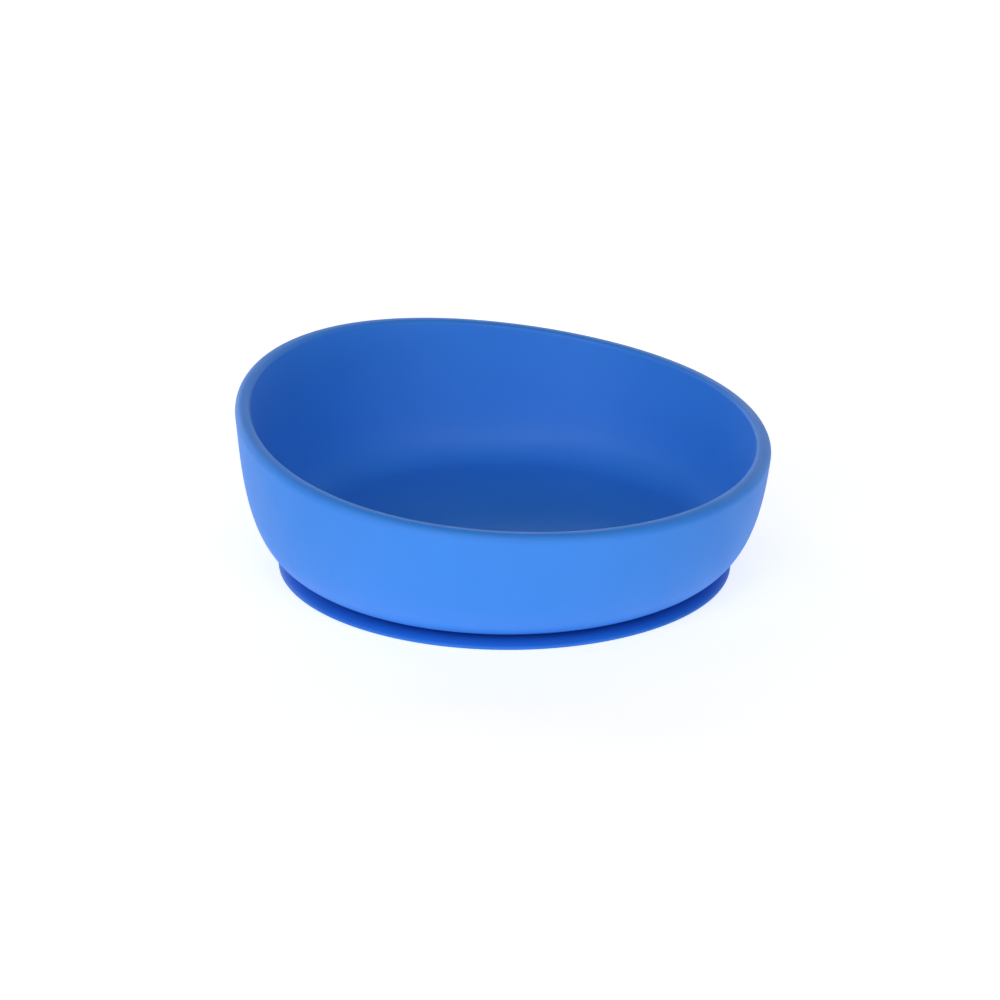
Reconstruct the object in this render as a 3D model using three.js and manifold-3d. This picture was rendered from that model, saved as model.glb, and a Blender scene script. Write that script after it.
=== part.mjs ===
// A toddler's feeding bowl on a removable silicone suction base.
// Millimetres, +Z up. The origin is the centre of the base's sealing lip, on the table.
// +Y is the tall side of the rim, with the release tab below it. -Y is the low side, towards the child.
import * as THREE from "three";
import { mergeVertices } from "three/addons/utils/BufferGeometryUtils.js";
import Module from "manifold-3d";

const degrees = THREE.MathUtils.degToRad;

// The gap that every pair of neighbouring pieces keeps.
const GAP = 0.3;

// Segments round each turned piece.
const SEGMENTS = 80;

// Rim: its height above the table is a mean plus three waves, all highest at +Y.
const RIM_MEAN = 41.4;
const RIM_WAVES = [6.7, 1.3, 0.5];
const RIM_TOP = RIM_MEAN + RIM_WAVES.reduce((sum, wave) => sum + wave);
const RIM_RADIUS = 75;
const RIM_OUTER_EDGE = 2.3;
const RIM_INNER_EDGE = 1.3;
const RIM_FLARE = degrees(8);
const WALL = 4.2;

// Outer wall: one curve from the foot, nearly flat, to the rim, nearly upright.
const FOOT_RADIUS = 57.3;
const FOOT_HEIGHT = 2.6;
const FOOT_SLOPE = degrees(10.5);
const FOOT_REACH = 16.3;
const RIM_REACH = 12.4;
// Below this height the wall is the same all round, whatever the rim does.
const EVEN_HEIGHT = 10;

// Inside: a flat floor that sweeps up into the wall.
const FLOOR_RADIUS = 54;
const FLOOR_HEIGHT = 7;
const FLOOR_REACH = 14;
const INNER_REACH = 27;

// Underside of the bowl: a recess that takes the base's hub, a locating boss and a locating ring.
const RECESS_RADIUS = 51.6;
const RECESS_HEIGHT = 4.4;
const BOSS_RADIUS = 11.5;
const BOSS_DEPTH = 1.5;
const RING_RADIUS = 31;
const RING_WIDTH = 2;
const RING_DEPTH = 1.2;

// Suction base: a hub that plugs into the recess, and a thin skirt that ends in a flat sealing lip.
const CAVITY_HEIGHT = 1.1;
const SKIRT_RADIUS = 62.9;
const SKIRT_INNER_TOP = 1.85;
const SKIRT_SHOULDER = new THREE.Vector2(57.8, 1.75);
const SKIRT_BEND = new THREE.Vector2(61.2, 1.6);
const SKIRT_EDGE_TOP = 0.6;
const SKIRT_EDGE_ROUND = 0.3;
const LIP_INNER = 59.2;
const LIP_OUTER = 62.4;

// Release tab: a tongue under the tall side of the rim.
const TAB_TIP = 73;
const TAB_HALF_WIDTH = 8.5;
const TAB_ROOT_HALF_WIDTH = 9.8;
const TAB_NECK = 66.2;
const TAB_END_LENGTH = 5;
const TAB_BOTTOM = 0.5;
const TAB_THICKNESS = 1.7;
const TAB_BEVEL = 0.35;
const RIDGE_RADIUS = 0.55;
const RIDGE_COUNT = 3;
const RIDGE_FIRST = 66.4;
const RIDGE_PITCH = 2;
const RIDGE_LENGTH = 10;

const bowlPlastic = new THREE.MeshStandardMaterial({ color: 0x2f78dd, roughness: 0.45, metalness: 0 });
const baseSilicone = new THREE.MeshStandardMaterial({ color: 0x2a6cd6, roughness: 0.6, metalness: 0 });

const wasm = await Module();
wasm.setup();

// A turned solid from an outline of (radius, height).
function turned(outline) {
  return new THREE.LatheGeometry(outline, SEGMENTS).rotateX(Math.PI / 2);
}

function named(name, geometry, material) {
  const mesh = new THREE.Mesh(geometry, material);
  mesh.name = name;
  return mesh;
}

function toSolid(geometry) {
  const bare = geometry.clone();
  bare.deleteAttribute("normal");
  bare.deleteAttribute("uv");
  const merged = mergeVertices(bare, 1e-4);
  return new wasm.Manifold(
    new wasm.Mesh({
      numProp: 3,
      vertProperties: merged.getAttribute("position").array,
      triVerts: new Uint32Array(merged.index.array),
    }),
  );
}

function toGeometry(solid) {
  const mesh = solid.getMesh();
  return new THREE.BufferGeometry()
    .setAttribute("position", new THREE.BufferAttribute(mesh.vertProperties, 3))
    .setIndex(new THREE.BufferAttribute(mesh.triVerts, 1));
}

// The rim's height. The waves grow with the radius, so the rim's top slopes as a slanting cut does.
function rimHeight(angleFromBack, radius) {
  const waves = RIM_WAVES.reduce((sum, wave, i) => sum + wave * Math.cos((i + 1) * angleFromBack), 0);
  return RIM_MEAN + (waves * radius) / RIM_RADIUS;
}

// The way the wall runs up at the rim, and the way it faces, in (radius, height).
const rimUp = new THREE.Vector2(Math.sin(RIM_FLARE), Math.cos(RIM_FLARE));
const rimOut = new THREE.Vector2(Math.cos(RIM_FLARE), -Math.sin(RIM_FLARE));
const outerTop = new THREE.Vector2(RIM_RADIUS, RIM_TOP - RIM_OUTER_EDGE * (1 + Math.sin(RIM_FLARE)));
const innerTop = outerTop.clone().addScaledVector(rimOut, -WALL);
innerTop.y = RIM_TOP - RIM_INNER_EDGE * (1 - Math.sin(RIM_FLARE));

const footPoint = new THREE.Vector2(FOOT_RADIUS, FOOT_HEIGHT);
const footAlong = new THREE.Vector2(Math.cos(FOOT_SLOPE), Math.sin(FOOT_SLOPE));
const outerWall = new THREE.CubicBezierCurve(
  footPoint,
  footPoint.clone().addScaledVector(footAlong, FOOT_REACH),
  outerTop.clone().addScaledVector(rimUp, -RIM_REACH),
  outerTop,
);

// The outer wall's radius at a height, found by halving, because the curve only rises.
function wallRadius(height) {
  let low = 0;
  let high = 1;
  for (let i = 0; i < 40; i++) {
    const middle = (low + high) / 2;
    if (outerWall.getPoint(middle).y < height) low = middle;
    else high = middle;
  }
  return outerWall.getPoint(low).x;
}

function underside() {
  const bossBottom = RECESS_HEIGHT - BOSS_DEPTH;
  const ringBottom = RECESS_HEIGHT - RING_DEPTH;
  const ringInner = RING_RADIUS - RING_WIDTH / 2;
  const ringOuter = RING_RADIUS + RING_WIDTH / 2;
  return [
    [0, bossBottom],
    [BOSS_RADIUS, bossBottom],
    [BOSS_RADIUS, RECESS_HEIGHT],
    [ringInner, RECESS_HEIGHT],
    [ringInner, ringBottom],
    [ringOuter, ringBottom],
    [ringOuter, RECESS_HEIGHT],
    [RECESS_RADIUS, RECESS_HEIGHT],
    [RECESS_RADIUS, FOOT_HEIGHT],
  ].map(([r, z]) => new THREE.Vector2(r, z));
}

// A rounded edge of the rim: an arc that starts or ends on the wall at edgePoint.
function rimEdge(edgePoint, radius, inwards, from, to) {
  const centre = edgePoint.clone().addScaledVector(rimOut, inwards * radius);
  return new THREE.EllipseCurve(centre.x, centre.y, radius, radius, from, to).getPoints(4);
}

function bowlOutline() {
  const innerWall = new THREE.CubicBezierCurve(
    innerTop,
    innerTop.clone().addScaledVector(rimUp, -INNER_REACH),
    new THREE.Vector2(FLOOR_RADIUS + FLOOR_REACH, FLOOR_HEIGHT),
    new THREE.Vector2(FLOOR_RADIUS, FLOOR_HEIGHT),
  );
  return [
    ...underside(),
    ...outerWall.getPoints(12),
    ...rimEdge(outerTop, RIM_OUTER_EDGE, -1, -RIM_FLARE, Math.PI / 2).slice(1),
    ...rimEdge(innerTop, RIM_INNER_EDGE, 1, Math.PI / 2, Math.PI - RIM_FLARE),
    ...innerWall.getPoints(10).slice(1),
    new THREE.Vector2(0, FLOOR_HEIGHT),
  ];
}

// Lowers the rim of the turned bowl from its top height to rimHeight all round.
// The wall shrinks evenly down to EVEN_HEIGHT, and keeps its thickness.
function lowerRim(geometry) {
  const position = geometry.getAttribute("position");
  const wallTop = outerTop.y;
  for (let i = 0; i < position.count; i++) {
    const x = position.getX(i);
    const y = position.getY(i);
    const z = position.getZ(i);
    const radius = Math.hypot(x, y);
    if (z <= EVEN_HEIGHT || radius === 0) continue;
    const drop = rimHeight(Math.atan2(x, y), radius) - RIM_TOP;
    const share = Math.min(1, (z - EVEN_HEIGHT) / (wallTop - EVEN_HEIGHT));
    const from = Math.min(z, wallTop);
    const moved = radius + wallRadius(from + drop * share) - wallRadius(from);
    position.setXYZ(i, (x * moved) / radius, (y * moved) / radius, z + drop * share);
  }
  return geometry;
}

function makeBowl() {
  return named("bowl", lowerRim(turned(bowlOutline())), bowlPlastic);
}

// The hub fills the bowl's recess, with a pocket for the boss and a groove for the ring.
function makeHub() {
  const radius = RECESS_RADIUS - GAP;
  const top = RECESS_HEIGHT - GAP;
  const pocket = BOSS_RADIUS + GAP;
  const pocketFloor = RECESS_HEIGHT - BOSS_DEPTH - GAP;
  const grooveInner = RING_RADIUS - RING_WIDTH / 2 - GAP;
  const grooveOuter = RING_RADIUS + RING_WIDTH / 2 + GAP;
  const grooveFloor = RECESS_HEIGHT - RING_DEPTH - GAP;
  const chamfer = 0.5;
  const outline = [
    [0, CAVITY_HEIGHT],
    [radius, CAVITY_HEIGHT],
    [radius, top - chamfer],
    [radius - chamfer, top],
    [grooveOuter, top],
    [grooveOuter, grooveFloor],
    [grooveInner, grooveFloor],
    [grooveInner, top],
    [pocket, top],
    [pocket, pocketFloor],
    [0, pocketFloor],
  ].map(([r, z]) => new THREE.Vector2(r, z));
  return named("suction_hub", turned(outline), baseSilicone);
}

// The skirt runs out nearly level from the hub, then curves down to a thin edge, with the suction
// cavity under it.
function makeSkirt() {
  const roundStart = new THREE.Vector2(SKIRT_RADIUS - SKIRT_EDGE_ROUND, SKIRT_EDGE_TOP + SKIRT_EDGE_ROUND);
  const outline = new THREE.Path();
  outline.moveTo(RECESS_RADIUS, CAVITY_HEIGHT);
  outline.quadraticCurveTo(LIP_INNER - 3, CAVITY_HEIGHT, LIP_INNER, 0);
  outline.lineTo(LIP_OUTER, 0);
  outline.quadraticCurveTo(SKIRT_RADIUS, 0, SKIRT_RADIUS, SKIRT_EDGE_TOP / 2);
  outline.quadraticCurveTo(SKIRT_RADIUS, SKIRT_EDGE_TOP, roundStart.x, roundStart.y);
  outline.quadraticCurveTo(SKIRT_BEND.x, SKIRT_BEND.y, SKIRT_SHOULDER.x, SKIRT_SHOULDER.y);
  outline.lineTo(RECESS_RADIUS, SKIRT_INNER_TOP);
  outline.lineTo(RECESS_RADIUS, CAVITY_HEIGHT);
  return named("suction_skirt", turned(outline.getPoints(4)), baseSilicone);
}

// The tab's plan: wide at its root on the skirt's edge, narrower past the neck, with a round end.
function tabPlan() {
  const rootRadius = SKIRT_RADIUS + GAP;
  const rootAngle = Math.asin(TAB_ROOT_HALF_WIDTH / rootRadius);
  const rootY = rootRadius * Math.cos(rootAngle);
  const endCentre = TAB_TIP - TAB_END_LENGTH;
  const plan = new THREE.Shape();
  plan.moveTo(TAB_ROOT_HALF_WIDTH, rootY);
  plan.quadraticCurveTo(TAB_HALF_WIDTH, TAB_NECK - 1.5, TAB_HALF_WIDTH, TAB_NECK);
  plan.lineTo(TAB_HALF_WIDTH, endCentre);
  plan.absellipse(0, endCentre, TAB_HALF_WIDTH, TAB_END_LENGTH, 0, Math.PI);
  plan.lineTo(-TAB_HALF_WIDTH, TAB_NECK);
  plan.quadraticCurveTo(-TAB_HALF_WIDTH, TAB_NECK - 1.5, -TAB_ROOT_HALF_WIDTH, rootY);
  plan.absarc(0, 0, rootRadius, Math.PI / 2 + rootAngle, Math.PI / 2 - rootAngle, true);
  return plan;
}

function makeTab() {
  const tongue = new THREE.ExtrudeGeometry(tabPlan(), {
    depth: TAB_THICKNESS - 2 * TAB_BEVEL,
    bevelThickness: TAB_BEVEL,
    bevelSize: TAB_BEVEL,
    bevelOffset: -TAB_BEVEL,
    bevelSegments: 2,
    curveSegments: 8,
  }).translate(0, 0, TAB_BOTTOM + TAB_BEVEL);
  let solid = toSolid(tongue);
  for (let i = 0; i < RIDGE_COUNT; i++) {
    const ridge = new THREE.CylinderGeometry(RIDGE_RADIUS, RIDGE_RADIUS, RIDGE_LENGTH, 12)
      .rotateZ(Math.PI / 2)
      .translate(0, RIDGE_FIRST + i * RIDGE_PITCH, TAB_BOTTOM + TAB_THICKNESS - RIDGE_RADIUS / 4);
    solid = solid.add(toSolid(ridge));
  }
  return named("release_tab", toGeometry(solid), baseSilicone);
}

const suctionBowl = new THREE.Group();
suctionBowl.add(makeSkirt(), makeHub(), makeTab(), makeBowl());

export default suctionBowl;
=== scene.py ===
"""The suction bowl: a moulded plastic bowl with a swept rim, on a one-piece silicone suction base."""

import math

import bmesh
import bpy
from mathutils import Matrix, Vector


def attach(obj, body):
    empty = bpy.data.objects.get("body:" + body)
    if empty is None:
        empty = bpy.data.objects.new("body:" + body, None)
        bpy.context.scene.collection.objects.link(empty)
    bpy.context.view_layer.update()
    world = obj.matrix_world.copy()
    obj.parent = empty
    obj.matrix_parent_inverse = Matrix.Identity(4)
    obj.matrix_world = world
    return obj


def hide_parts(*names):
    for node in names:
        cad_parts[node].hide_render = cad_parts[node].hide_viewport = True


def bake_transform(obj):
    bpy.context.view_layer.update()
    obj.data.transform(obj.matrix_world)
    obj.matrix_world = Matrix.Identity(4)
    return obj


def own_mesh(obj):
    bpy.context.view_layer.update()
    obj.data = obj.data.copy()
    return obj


MM = 0.001

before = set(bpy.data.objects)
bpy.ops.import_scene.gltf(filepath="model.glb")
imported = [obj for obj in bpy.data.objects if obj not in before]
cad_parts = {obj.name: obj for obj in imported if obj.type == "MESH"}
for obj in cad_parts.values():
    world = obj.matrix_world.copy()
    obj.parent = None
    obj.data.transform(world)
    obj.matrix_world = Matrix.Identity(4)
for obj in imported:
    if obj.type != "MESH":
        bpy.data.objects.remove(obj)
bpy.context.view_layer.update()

# ---------------------------------------------------------------- sizes, in millimetres

# Steps round each turned piece.
SEGMENTS = 288
# How far a rounded corner's handles reach towards the corner, as a share of the rounding.
CORNER_HANDLE = 0.55
# Points closer than this, in metres, are one point.
WELD_DISTANCE = 2e-6

# The rim's mean height, and what one, two and three waves round the rim add to it at the back.
RIM_MEAN = 41.4
RIM_WAVES = (6.7, 1.3, 0.5)
RIM_TOP = RIM_MEAN + sum(RIM_WAVES)
RIM_RADIUS = 75.0
RIM_OUTER_EDGE = 2.3
RIM_INNER_EDGE = 1.3
# How far the wall leans outwards at the rim.
RIM_FLARE = math.radians(8)
WALL = 4.2

# Each REACH is how far a wall curve's handle goes from its end.
FOOT_RADIUS = 57.3
FOOT_HEIGHT = 2.6
FOOT_SLOPE = math.radians(10.5)
FOOT_REACH = 16.3
FOOT_EDGE = 0.35
RIM_REACH = 12.4
# Up to this height the bowl is plainly turned. Above it, the wall follows the swept rim.
EVEN_HEIGHT = 10.0
# The outer wall's curve is worked out in fine steps, from the foot up. The mesh has every ninth of them,
# from just past the foot's corner.
WALL_STEPS = 400
WALL_START = 12
WALL_STRIDE = 9
# This step shows the foot's corner which way the wall goes.
WALL_HEADING = 40

# The bowl's inside floor, and the handles of the curve that runs down to it from the rim.
FLOOR_RADIUS = 54.0
FLOOR_HEIGHT = 7.0
FLOOR_REACH = 14.0
INNER_REACH = 27.0

# The recess that the hub plugs into, with a boss in its middle, a locating ring and the moulding gate's mark.
RECESS_RADIUS = 51.6
RECESS_HEIGHT = 4.4
BOSS_RADIUS = 11.5
BOSS_BOTTOM = 2.9
RING_RADIUS = 31.0
RING_HALF_WIDTH = 1.0
RING_BOTTOM = 3.2
GATE_RADIUS = 3.0
GATE_DEPTH = 0.35
GATE_TAPER = 0.3
MOULDED_EDGE = 0.25

# The gap between the hub and the bowl.
GAP = 0.3
# The cavity under the base, with a shallow dish in its middle and round grooves in its ceiling.
CAVITY_HEIGHT = 1.1
CAVITY_RADIUS = 54.5
CAVITY_EDGE = 2.0
DISH_DEPTH = 0.25
DISH_INNER = 4.5
DISH_OUTER = 5.2
GROOVE_RADII = (18.0, 30.0, 42.0)
GROOVE_DEPTH = 0.35
GROOVE_HALF_WIDTH = 1.0
GROOVE_FLOOR_HALF_WIDTH = 0.3
# The skirt's top runs out nearly level from the hub, then bends down to a thin edge.
SKIRT_RADIUS = 62.9
SKIRT_INNER_TOP = 1.85
SKIRT_SHOULDER = (57.8, 1.75)
SKIRT_BEND = (61.2, 1.6)
SKIRT_EDGE_TOP = 0.6
SKIRT_EDGE_ROUND = 0.3
# The flat lip that seals against the table.
LIP_INNER = 59.2
LIP_EDGE = 0.8
# The step from the skirt up to the hub.
STEP_RADIUS = 52.4
STEP_RISE = 0.4
HUB_CHAMFER = 0.5

# TIP, ROOT and NECK are distances from the bowl's axis.
TAB_TIP = 73.0
TAB_HALF_WIDTH = 8.5
TAB_ROOT_HALF_WIDTH = 9.8
TAB_ROOT = 61.6
TAB_NECK = 66.2
TAB_END_LENGTH = 5.0
TAB_BOTTOM = 0.5
TAB_THICKNESS = 1.7
TAB_EDGE = 0.75
# At the root the tab is a thin tongue inside the skirt. It grows to full thickness from here to the neck.
TAB_GROWS_FROM = SKIRT_RADIUS - 0.9
TAB_ROOT_MIDDLE = 0.35
TAB_ROOT_HALF = 0.25
TAB_ROWS = 96
TAB_COLUMNS = 44
RIDGES = (66.9, 68.9, 70.9)
RIDGE_HEIGHT = 0.38
RIDGE_HALF_WIDTH = 0.5
# Each ridge's straight part, as a share of the tab's width there.
RIDGE_SHARE = 0.55

# ---------------------------------------------------------------- camera

# Angles in degrees, distances in metres, the lens in millimetres.
CAMERA_AZIMUTH = -58.0
CAMERA_ELEVATION = 22.0
CAMERA_ROLL = 0.42
CAMERA_DISTANCE = 2.0
CAMERA_LENS = 258.5
CAMERA_NEAR = 0.1
CAMERA_FAR = 20
# How far the optical axis passes to the left of the origin and above it.
AIM_LEFT = 0.00124
AIM_UP = 0.01709


def direction(azimuth, elevation):
    """The unit vector from the object towards a camera or lamp at that azimuth and elevation."""
    a, e = math.radians(azimuth), math.radians(elevation)
    return Vector((math.sin(a) * math.cos(e), -math.cos(a) * math.cos(e), math.sin(e)))


def make_camera():
    """A long lens, level but for a slight roll."""
    camera = bpy.data.objects.new("camera", bpy.data.cameras.new("camera"))
    bpy.context.scene.collection.objects.link(camera)
    back = direction(CAMERA_AZIMUTH, CAMERA_ELEVATION)
    level = Vector((math.cos(math.radians(CAMERA_AZIMUTH)), math.sin(math.radians(CAMERA_AZIMUTH)), 0))
    up = back.cross(level)
    roll = math.radians(CAMERA_ROLL)
    right = level * math.cos(roll) + up * math.sin(roll)
    top = up * math.cos(roll) - level * math.sin(roll)
    turn = Matrix((right, top, back)).transposed()
    place = back * CAMERA_DISTANCE - right * AIM_LEFT + top * AIM_UP
    camera.matrix_world = Matrix.Translation(place) @ turn.to_4x4()
    camera.data.lens = CAMERA_LENS
    camera.data.clip_start = CAMERA_NEAR
    camera.data.clip_end = CAMERA_FAR
    bpy.context.scene.camera = camera


make_camera()

# ---------------------------------------------------------------- curves in (radius, height)


def bezier(a, b, c, d, steps):
    """Points on a cubic curve, both ends included."""
    points = []
    for i in range(steps + 1):
        t = i / steps
        s = 1 - t
        points.append(a * s**3 + b * (3 * s * s * t) + c * (3 * s * t * t) + d * t**3)
    return points


def arc(centre, radius, start, end, steps):
    """Points on an arc, both ends included. Angles in radians, 0 towards +radius, 90 degrees up."""
    points = []
    for i in range(steps + 1):
        angle = start + (end - start) * i / steps
        points.append(centre + Vector((math.cos(angle), math.sin(angle))) * radius)
    return points


def softened(corners, steps=4):
    """The line through the corners, each (radius, height, rounding), with every corner rounded."""
    points = []
    for i, (r, z, size) in enumerate(corners):
        corner = Vector((r, z))
        if size == 0 or i in (0, len(corners) - 1):
            points.append(corner)
            continue
        before = (Vector(corners[i - 1][:2]) - corner).normalized() * size
        after = (Vector(corners[i + 1][:2]) - corner).normalized() * size
        start, end = corner + before, corner + after
        points += bezier(start, start - before * CORNER_HANDLE, end - after * CORNER_HANDLE, end, steps)
    return points


def spread(a, b, steps):
    """Points on the straight line from a to b, neither end included."""
    return [a.lerp(b, i / steps) for i in range(1, steps)]


# ---------------------------------------------------------------- the bowl's outline

rim_up = Vector((math.sin(RIM_FLARE), math.cos(RIM_FLARE)))
rim_out = Vector((math.cos(RIM_FLARE), -math.sin(RIM_FLARE)))
outer_top = Vector((RIM_RADIUS, RIM_TOP - RIM_OUTER_EDGE * (1 + math.sin(RIM_FLARE))))
inner_top = Vector(((outer_top - rim_out * WALL).x, RIM_TOP - RIM_INNER_EDGE * (1 - math.sin(RIM_FLARE))))
foot = Vector((FOOT_RADIUS, FOOT_HEIGHT))
foot_along = Vector((math.cos(FOOT_SLOPE), math.sin(FOOT_SLOPE)))
outer_wall = bezier(
    foot, foot + foot_along * FOOT_REACH, outer_top - rim_up * RIM_REACH, outer_top, WALL_STEPS
)


def wall_radius(height):
    """The outer wall's radius at a height."""
    low, high = 0, len(outer_wall) - 1
    while high - low > 1:
        middle = (low + high) // 2
        if outer_wall[middle].y < height:
            low = middle
        else:
            high = middle
    a, b = outer_wall[low], outer_wall[high]
    return a.x + (b.x - a.x) * (height - a.y) / (b.y - a.y)


def bowl_outline():
    """From the middle of the underside, round the foot and the rim, to the middle of the floor."""
    edge = MOULDED_EDGE
    under = softened(
        [
            (0, BOSS_BOTTOM + GATE_DEPTH, 0),
            (GATE_RADIUS - GATE_TAPER, BOSS_BOTTOM + GATE_DEPTH, edge),
            (GATE_RADIUS, BOSS_BOTTOM, edge),
            (BOSS_RADIUS, BOSS_BOTTOM, edge),
            (BOSS_RADIUS, RECESS_HEIGHT, edge),
            (RING_RADIUS - RING_HALF_WIDTH, RECESS_HEIGHT, edge),
            (RING_RADIUS - RING_HALF_WIDTH, RING_BOTTOM, edge),
            (RING_RADIUS + RING_HALF_WIDTH, RING_BOTTOM, edge),
            (RING_RADIUS + RING_HALF_WIDTH, RECESS_HEIGHT, edge),
            (RECESS_RADIUS, RECESS_HEIGHT, edge),
            (RECESS_RADIUS, FOOT_HEIGHT, edge),
            (FOOT_RADIUS, FOOT_HEIGHT, FOOT_EDGE),
            (*outer_wall[WALL_HEADING], 0),
        ]
    )[:-1]
    wall = outer_wall[WALL_START::WALL_STRIDE]
    outer_centre = outer_top - rim_out * RIM_OUTER_EDGE
    inner_centre = inner_top + rim_out * RIM_INNER_EDGE
    rim = arc(outer_centre, RIM_OUTER_EDGE, -RIM_FLARE, math.pi / 2, steps=10)
    rim += spread(rim[-1], inner_centre + Vector((0, RIM_INNER_EDGE)), steps=4)
    rim += arc(inner_centre, RIM_INNER_EDGE, math.pi / 2, math.pi - RIM_FLARE, steps=14)
    floor_edge = Vector((FLOOR_RADIUS, FLOOR_HEIGHT))
    inner_wall = bezier(
        inner_top,
        inner_top - rim_up * INNER_REACH,
        floor_edge + Vector((FLOOR_REACH, 0)),
        floor_edge,
        steps=56,
    )
    middle = Vector((0, FLOOR_HEIGHT))
    return under + wall + rim + inner_wall[1:] + spread(floor_edge, middle, steps=12) + [middle]


def rim_height(angle_from_back, radius):
    """The rim's height. The waves grow with the radius, so the rim's top slopes as a slanting cut does."""
    waves = sum(wave * math.cos((i + 1) * angle_from_back) for i, wave in enumerate(RIM_WAVES))
    return RIM_MEAN + waves * radius / RIM_RADIUS


def swept(radius, height, angle_from_back):
    """Where a point of the turned bowl goes, so that the rim is at rim_height all round."""
    if height <= EVEN_HEIGHT or radius == 0:
        return radius, height
    drop = rim_height(angle_from_back, radius) - RIM_TOP
    share = min(1, (height - EVEN_HEIGHT) / (outer_top.y - EVEN_HEIGHT))
    level = min(height, outer_top.y)
    shift = wall_radius(level + drop * share) - wall_radius(level)
    return radius + shift, height + drop * share


# ---------------------------------------------------------------- meshes


def piece(name, vertices, faces, material):
    """A smooth-shaded object from vertices in millimetres."""
    mesh = bpy.data.meshes.new(name)
    mesh.from_pydata([Vector(v) * MM for v in vertices], [], faces)
    welded = bmesh.new()
    welded.from_mesh(mesh)
    bmesh.ops.remove_doubles(welded, verts=welded.verts, dist=WELD_DISTANCE)
    welded.to_mesh(mesh)
    welded.free()
    mesh.validate()
    mesh.shade_smooth()
    mesh.materials.append(material)
    made = bpy.data.objects.new(name, mesh)
    bpy.context.scene.collection.objects.link(made)
    return made


def turned(name, outline, material, place=lambda r, z, angle: (r, z)):
    """A solid turned from an outline that starts and ends on the axis, underside first."""
    rings = outline[1:-1]
    vertices = [(0, 0, outline[0].y)]
    for point in rings:
        for i in range(SEGMENTS):
            angle = 2 * math.pi * i / SEGMENTS
            r, z = place(point.x, point.y, angle)
            vertices.append((r * math.sin(angle), r * math.cos(angle), z))
    last = len(vertices)
    vertices.append((0, 0, outline[-1].y))
    faces = []
    top = last - SEGMENTS
    for i in range(SEGMENTS):
        j = (i + 1) % SEGMENTS
        faces.append((0, 1 + i, 1 + j))
        faces.append((last, top + j, top + i))
        for k in range(len(rings) - 1):
            low, high = 1 + k * SEGMENTS, 1 + (k + 1) * SEGMENTS
            faces.append((low + i, high + i, high + j, low + j))
    return piece(name, vertices, faces, material)


# ---------------------------------------------------------------- materials

# Noise scales, in waves to the metre.
CLOUD_SCALE = 38
GLOSS_SCALE = 90
WAVE_SCALE = 60
# Bump strengths, and the height of the slow waves in metres.
GRAIN_STRENGTH = 0.35
WAVE_STRENGTH = 0.15
WAVE_HEIGHT = 0.0002
SPECULAR_LEVEL = 0.4
RAMP_ENDS = (0.3, 0.7)


def node(tree, kind, **inputs):
    """A shader node with its input values set by name."""
    made = tree.nodes.new(kind)
    for key, value in inputs.items():
        made.inputs[key.replace("_", " ")].default_value = value
    return made


def noise(tree, where, scale, detail):
    """Noise of that many waves to the metre."""
    made = node(tree, "ShaderNodeTexNoise", Scale=scale, Detail=detail)
    tree.links.new(where, made.inputs["Vector"])
    return made.outputs["Fac"]


def ramp(tree, factor, low, high):
    """A value or colour that goes from low to high over the middle of the factor's range."""
    made = tree.nodes.new("ShaderNodeValToRGB")
    for stop, position, value in zip(made.color_ramp.elements, RAMP_ENDS, (low, high)):
        stop.position = position
        stop.color = (*value, 1) if isinstance(value, tuple) else (value, value, value, 1)
    tree.links.new(factor, made.inputs["Fac"])
    return made.outputs["Color"]


def bump(tree, height, strength, distance, before=None):
    """A normal tilted by the height, on top of the normal before it."""
    made = node(tree, "ShaderNodeBump", Strength=strength, Distance=distance)
    tree.links.new(height, made.inputs["Height"])
    if before is not None:
        tree.links.new(before, made.inputs["Normal"])
    return made.outputs["Normal"]


def moulded(name, deep, pale, roughness, grain, grain_height):
    """A plain moulded blue with a faint cloudiness, an uneven gloss and a fine grained skin."""
    material = bpy.data.materials.new(name)
    material.use_nodes = True
    tree = material.node_tree
    shader = tree.nodes["Principled BSDF"]
    where = tree.nodes.new("ShaderNodeTexCoord").outputs["Object"]
    clouds = ramp(tree, noise(tree, where, CLOUD_SCALE, detail=4), deep, pale)
    gloss = ramp(tree, noise(tree, where, GLOSS_SCALE, detail=5), *roughness)
    skin = bump(tree, noise(tree, where, grain, detail=3), GRAIN_STRENGTH, grain_height)
    waves = bump(tree, noise(tree, where, WAVE_SCALE, detail=1), WAVE_STRENGTH, WAVE_HEIGHT, skin)
    tree.links.new(clouds, shader.inputs["Base Color"])
    tree.links.new(gloss, shader.inputs["Roughness"])
    tree.links.new(waves, shader.inputs["Normal"])
    shader.inputs["Specular IOR Level"].default_value = SPECULAR_LEVEL
    return material


bowl_plastic = moulded(
    "bowl_plastic",
    deep=(0.032, 0.236, 0.805),
    pale=(0.036, 0.248, 0.835),
    roughness=(0.52, 0.60),
    grain=5200,
    grain_height=0.00004,
)
# The base has the bowl's own blue. Its darker, deeper values here are painted shade, standing in for the
# shade under the bowl's overhang.
base_silicone = moulded(
    "base_silicone",
    deep=(0.017, 0.172, 0.665),
    pale=(0.020, 0.186, 0.700),
    roughness=(0.54, 0.64),
    grain=3600,
    grain_height=0.00006,
)

# ---------------------------------------------------------------- the bowl

bowl = turned("bowl_shell", bowl_outline(), bowl_plastic, swept)
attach(bowl, "bowl")
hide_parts("bowl")

# ---------------------------------------------------------------- the silicone suction base


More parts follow.
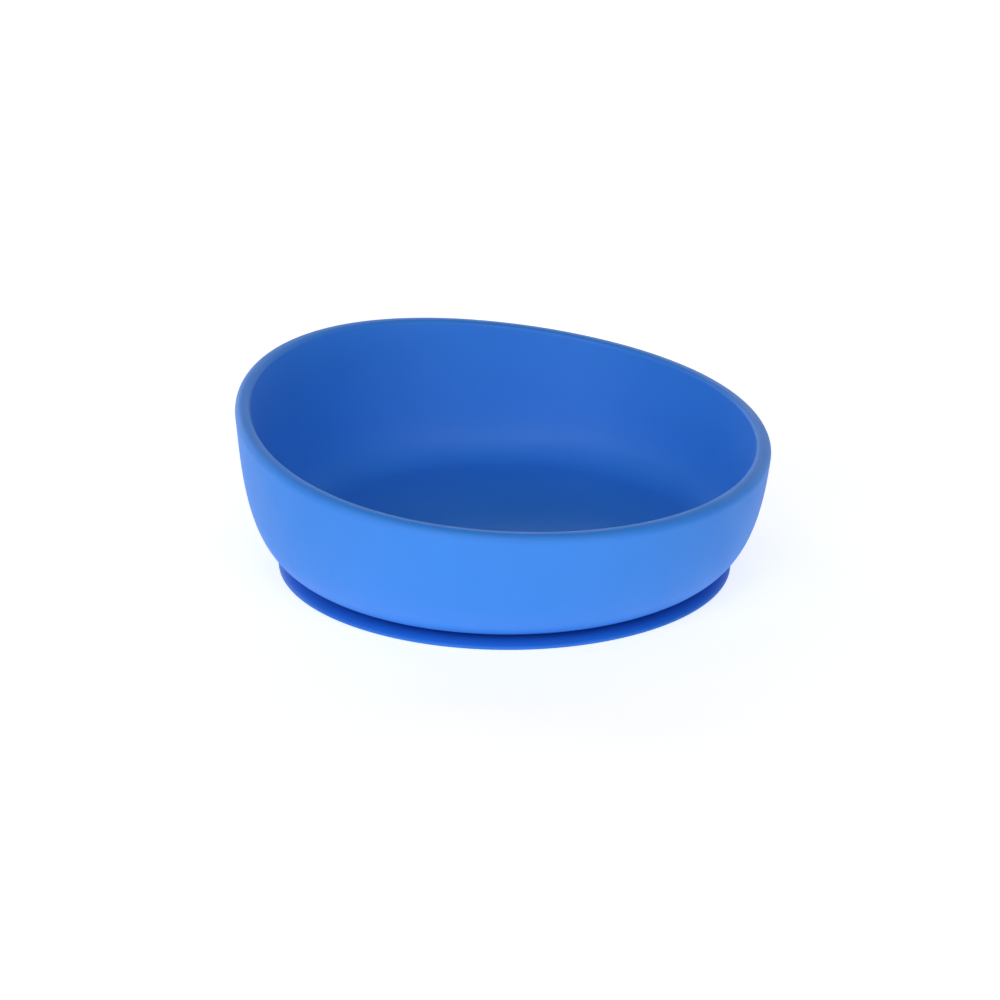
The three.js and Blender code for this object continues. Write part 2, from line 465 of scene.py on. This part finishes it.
def pad_outline():
    """From the middle of the cavity, round the sealing lip and over the hub, to the hub's middle."""
    hub_side = RECESS_RADIUS - GAP
    hub_top = RECESS_HEIGHT - GAP
    pocket = BOSS_RADIUS + GAP
    ring_inner = RING_RADIUS - RING_HALF_WIDTH - GAP
    ring_outer = RING_RADIUS + RING_HALF_WIDTH + GAP
    edge = MOULDED_EDGE
    corners = [
        (0, CAVITY_HEIGHT - DISH_DEPTH, 0),
        (DISH_INNER, CAVITY_HEIGHT - DISH_DEPTH, 0.3),
        (DISH_OUTER, CAVITY_HEIGHT, 0.3),
    ]
    for groove in GROOVE_RADII:
        corners += [
            (groove - GROOVE_HALF_WIDTH, CAVITY_HEIGHT, 0.4),
            (groove - GROOVE_FLOOR_HALF_WIDTH, CAVITY_HEIGHT - GROOVE_DEPTH, edge),
            (groove + GROOVE_FLOOR_HALF_WIDTH, CAVITY_HEIGHT - GROOVE_DEPTH, edge),
            (groove + GROOVE_HALF_WIDTH, CAVITY_HEIGHT, 0.4),
        ]
    corners += [
        (CAVITY_RADIUS, CAVITY_HEIGHT, CAVITY_EDGE),
        (LIP_INNER, 0.0, LIP_EDGE),
        (SKIRT_RADIUS, 0.0, edge),
        (SKIRT_RADIUS, SKIRT_EDGE_TOP, 0.2),
    ]
    edge_top = Vector((SKIRT_RADIUS - SKIRT_EDGE_ROUND, SKIRT_EDGE_TOP + SKIRT_EDGE_ROUND))
    bend, shoulder = Vector(SKIRT_BEND), Vector(SKIRT_SHOULDER)
    outer_bend, inner_bend = edge_top.lerp(bend, 2 / 3), shoulder.lerp(bend, 2 / 3)
    skirt_top = bezier(edge_top, outer_bend, inner_bend, shoulder, steps=14)
    corners += [(*point, 0) for point in skirt_top]
    corners += [
        (STEP_RADIUS, SKIRT_INNER_TOP, 0.5),
        (hub_side, SKIRT_INNER_TOP + STEP_RISE, 0.35),
        (hub_side, hub_top - HUB_CHAMFER, edge),
        (hub_side - HUB_CHAMFER, hub_top, edge),
        (ring_outer, hub_top, edge),
        (ring_outer, RING_BOTTOM - GAP, edge),
        (ring_inner, RING_BOTTOM - GAP, edge),
        (ring_inner, hub_top, edge),
        (pocket, hub_top, edge),
        (pocket, BOSS_BOTTOM - GAP, edge),
        (0, BOSS_BOTTOM - GAP, 0),
    ]
    return softened(corners, steps=5)


pad = turned("suction_pad", pad_outline(), base_silicone)
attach(pad, "suction_skirt")
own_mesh(pad)
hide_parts("suction_skirt", "suction_hub")

# ---------------------------------------------------------------- the release tab


def smooth_step(value, start, end):
    """From 0 at start to 1 at end, level at both."""
    t = max(0.0, min(1.0, (value - start) / (end - start)))
    return t * t * (3 - 2 * t)


def tab_half_width(y):
    """Half the tab's width: a flared root, straight sides and a rounded end."""
    end_centre = TAB_TIP - TAB_END_LENGTH
    if y > end_centre:
        return TAB_HALF_WIDTH * math.sqrt(max(0.0, 1 - ((y - end_centre) / TAB_END_LENGTH) ** 2))
    return TAB_HALF_WIDTH + (TAB_ROOT_HALF_WIDTH - TAB_HALF_WIDTH) * (1 - smooth_step(y, TAB_ROOT, TAB_NECK))


def edge_distance(point, outline):
    """How far a point is from the line through the outline's points."""
    nearest = math.inf
    for a, b in zip(outline, outline[1:]):
        along = b - a
        share = max(0.0, min(1.0, (point - a).dot(along) / along.length_squared))
        nearest = min(nearest, (point - a - along * share).length)
    return nearest


def ridge_height(x, y):
    """Three raised grip ridges with round ends, across the tab's upper face."""
    height = 0.0
    for ridge in RIDGES:
        half_length = RIDGE_SHARE * tab_half_width(ridge)
        off = math.hypot(max(0.0, abs(x) - half_length), y - ridge)
        height = max(height, RIDGE_HEIGHT * math.sqrt(max(0.0, 1 - (off / RIDGE_HALF_WIDTH) ** 2)))
    return height


def make_tab():
    """Two skins over the tab's plan, which meet along its edge: thin at the root, thick at the grip."""
    rows, columns = TAB_ROWS, TAB_COLUMNS
    side_line = [Vector((TAB_ROOT_HALF_WIDTH, TAB_ROOT - 2))]
    for i in range(rows + 1):
        y = TAB_ROOT + (TAB_TIP - TAB_ROOT) * math.sin(math.pi / 2 * i / rows)
        side_line.append(Vector((tab_half_width(y), y)))
    plan = []
    for i in range(rows + 1):
        along = math.sin(math.pi / 2 * i / rows)
        centre_y = TAB_ROOT + (TAB_TIP - TAB_ROOT) * along
        for j in range(columns + 1):
            across = math.sin(math.pi / 2 * (2 * j / columns - 1))
            x = tab_half_width(centre_y) * across
            on_edge = j in (0, columns) or i == rows
            inwards = 0 if on_edge else edge_distance(Vector((abs(x), centre_y)), side_line)
            plan.append((x, centre_y - x * x / (2 * TAB_ROOT) * (1 - along), min(1, inwards / TAB_EDGE)))
    vertices = []
    for side in (1, -1):
        for x, y, edge in plan:
            grown = smooth_step(y, TAB_GROWS_FROM, TAB_NECK)
            middle = TAB_ROOT_MIDDLE + (TAB_BOTTOM + TAB_THICKNESS / 2 - TAB_ROOT_MIDDLE) * grown
            half = TAB_ROOT_HALF + (TAB_THICKNESS / 2 - TAB_ROOT_HALF) * grown
            height = half * math.sqrt(1 - (1 - edge) ** 2)
            if side == 1:
                height += ridge_height(x, y) * edge
            vertices.append((x, y, middle + side * height))
    faces = []
    count = len(plan)
    for i in range(rows):
        for j in range(columns):
            a = i * (columns + 1) + j
            b, c, d = a + 1, a + columns + 2, a + columns + 1
            faces.append((a, b, c, d))
            faces.append((count + a, count + d, count + c, count + b))
    for j in range(columns):
        faces.append((j, count + j, count + j + 1, j + 1))
    return piece("tab_tongue", vertices, faces, base_silicone)


tab = make_tab()
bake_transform(tab)
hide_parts("release_tab")

# ---------------------------------------------------------------- floor and light

# The stage is the white floor that the bowl stands on. Sizes and distances here are in metres.
STAGE_HALF_SIZE = 20.0
STAGE_PALENESS = 0.62
STAGE_ROUGHNESS = 0.9
# The stage glows as a backlit white sweep does, up to 1 far out, where the lamps don't reach.
STAGE_GLOW = 0.67
STAGE_GLOW_STARTS = 0.5
STAGE_GLOW_FULL = 2.0
WORLD_STRENGTH = 0.06
LAMP_DISTANCE = 1.8
LAMP_SIZE = 1.2
# Soft round lamps: degrees round from the camera, elevation in degrees, power in watts.
LAMPS = {
    "front_high": (0, 47, 6.8),
    "front_left": (-35, 21, 9.4),
    "front_right": (35, 21, 6.2),
    "side_left": (-80, 24, 2.4),
    "back_left": (-140, 16, 11),
    "back": (180, 18, 7),
    "back_right": (140, 22, 6),
}


def make_floor():
    """The stage: a wide white floor under the base, which is no part of the object."""
    half = STAGE_HALF_SIZE
    corners = [(-half, -half, 0), (half, -half, 0), (half, half, 0), (-half, half, 0)]
    mesh = bpy.data.meshes.new("floor")
    mesh.from_pydata(corners, [], [(0, 1, 2, 3)])
    material = bpy.data.materials.new("pale_floor")
    material.use_nodes = True
    tree = material.node_tree
    shader = tree.nodes["Principled BSDF"]
    shader.inputs["Base Color"].default_value = (STAGE_PALENESS, STAGE_PALENESS, STAGE_PALENESS, 1)
    shader.inputs["Roughness"].default_value = STAGE_ROUGHNESS
    shader.inputs["Emission Color"].default_value = (1, 1, 1, 1)
    distance = tree.nodes.new("ShaderNodeVectorMath")
    distance.operation = "LENGTH"
    tree.links.new(tree.nodes.new("ShaderNodeTexCoord").outputs["Object"], distance.inputs[0])
    glow = tree.nodes.new("ShaderNodeMapRange")
    glow.inputs["From Min"].default_value = STAGE_GLOW_STARTS
    glow.inputs["From Max"].default_value = STAGE_GLOW_FULL
    glow.inputs["To Min"].default_value = STAGE_GLOW
    tree.links.new(distance.outputs["Value"], glow.inputs["Value"])
    tree.links.new(glow.outputs["Result"], shader.inputs["Emission Strength"])
    mesh.materials.append(material)
    floor = bpy.data.objects.new("floor", mesh)
    bpy.context.scene.collection.objects.link(floor)


def make_lamp(name, azimuth, elevation, power):
    """A round soft lamp that faces the object."""
    lamp = bpy.data.lights.new(name, "AREA")
    lamp.shape = "DISK"
    lamp.size = LAMP_SIZE
    lamp.energy = power
    made = bpy.data.objects.new(name, lamp)
    bpy.context.scene.collection.objects.link(made)
    towards = direction(azimuth, elevation)
    made.location = towards * LAMP_DISTANCE
    made.rotation_mode = "QUATERNION"
    made.rotation_quaternion = towards.to_track_quat("Z", "Y")


def make_world():
    """A faint even white light from all round."""
    world = bpy.data.worlds.new("studio")
    world.use_nodes = True
    background = world.node_tree.nodes["Background"]
    background.inputs["Color"].default_value = (1, 1, 1, 1)
    background.inputs["Strength"].default_value = WORLD_STRENGTH
    bpy.context.scene.world = world


make_floor()
make_world()
for lamp_name, (turn, elevation, power) in LAMPS.items():
    make_lamp(lamp_name, CAMERA_AZIMUTH + turn, elevation, power)
bpy.context.scene.view_settings.view_transform = "Standard"
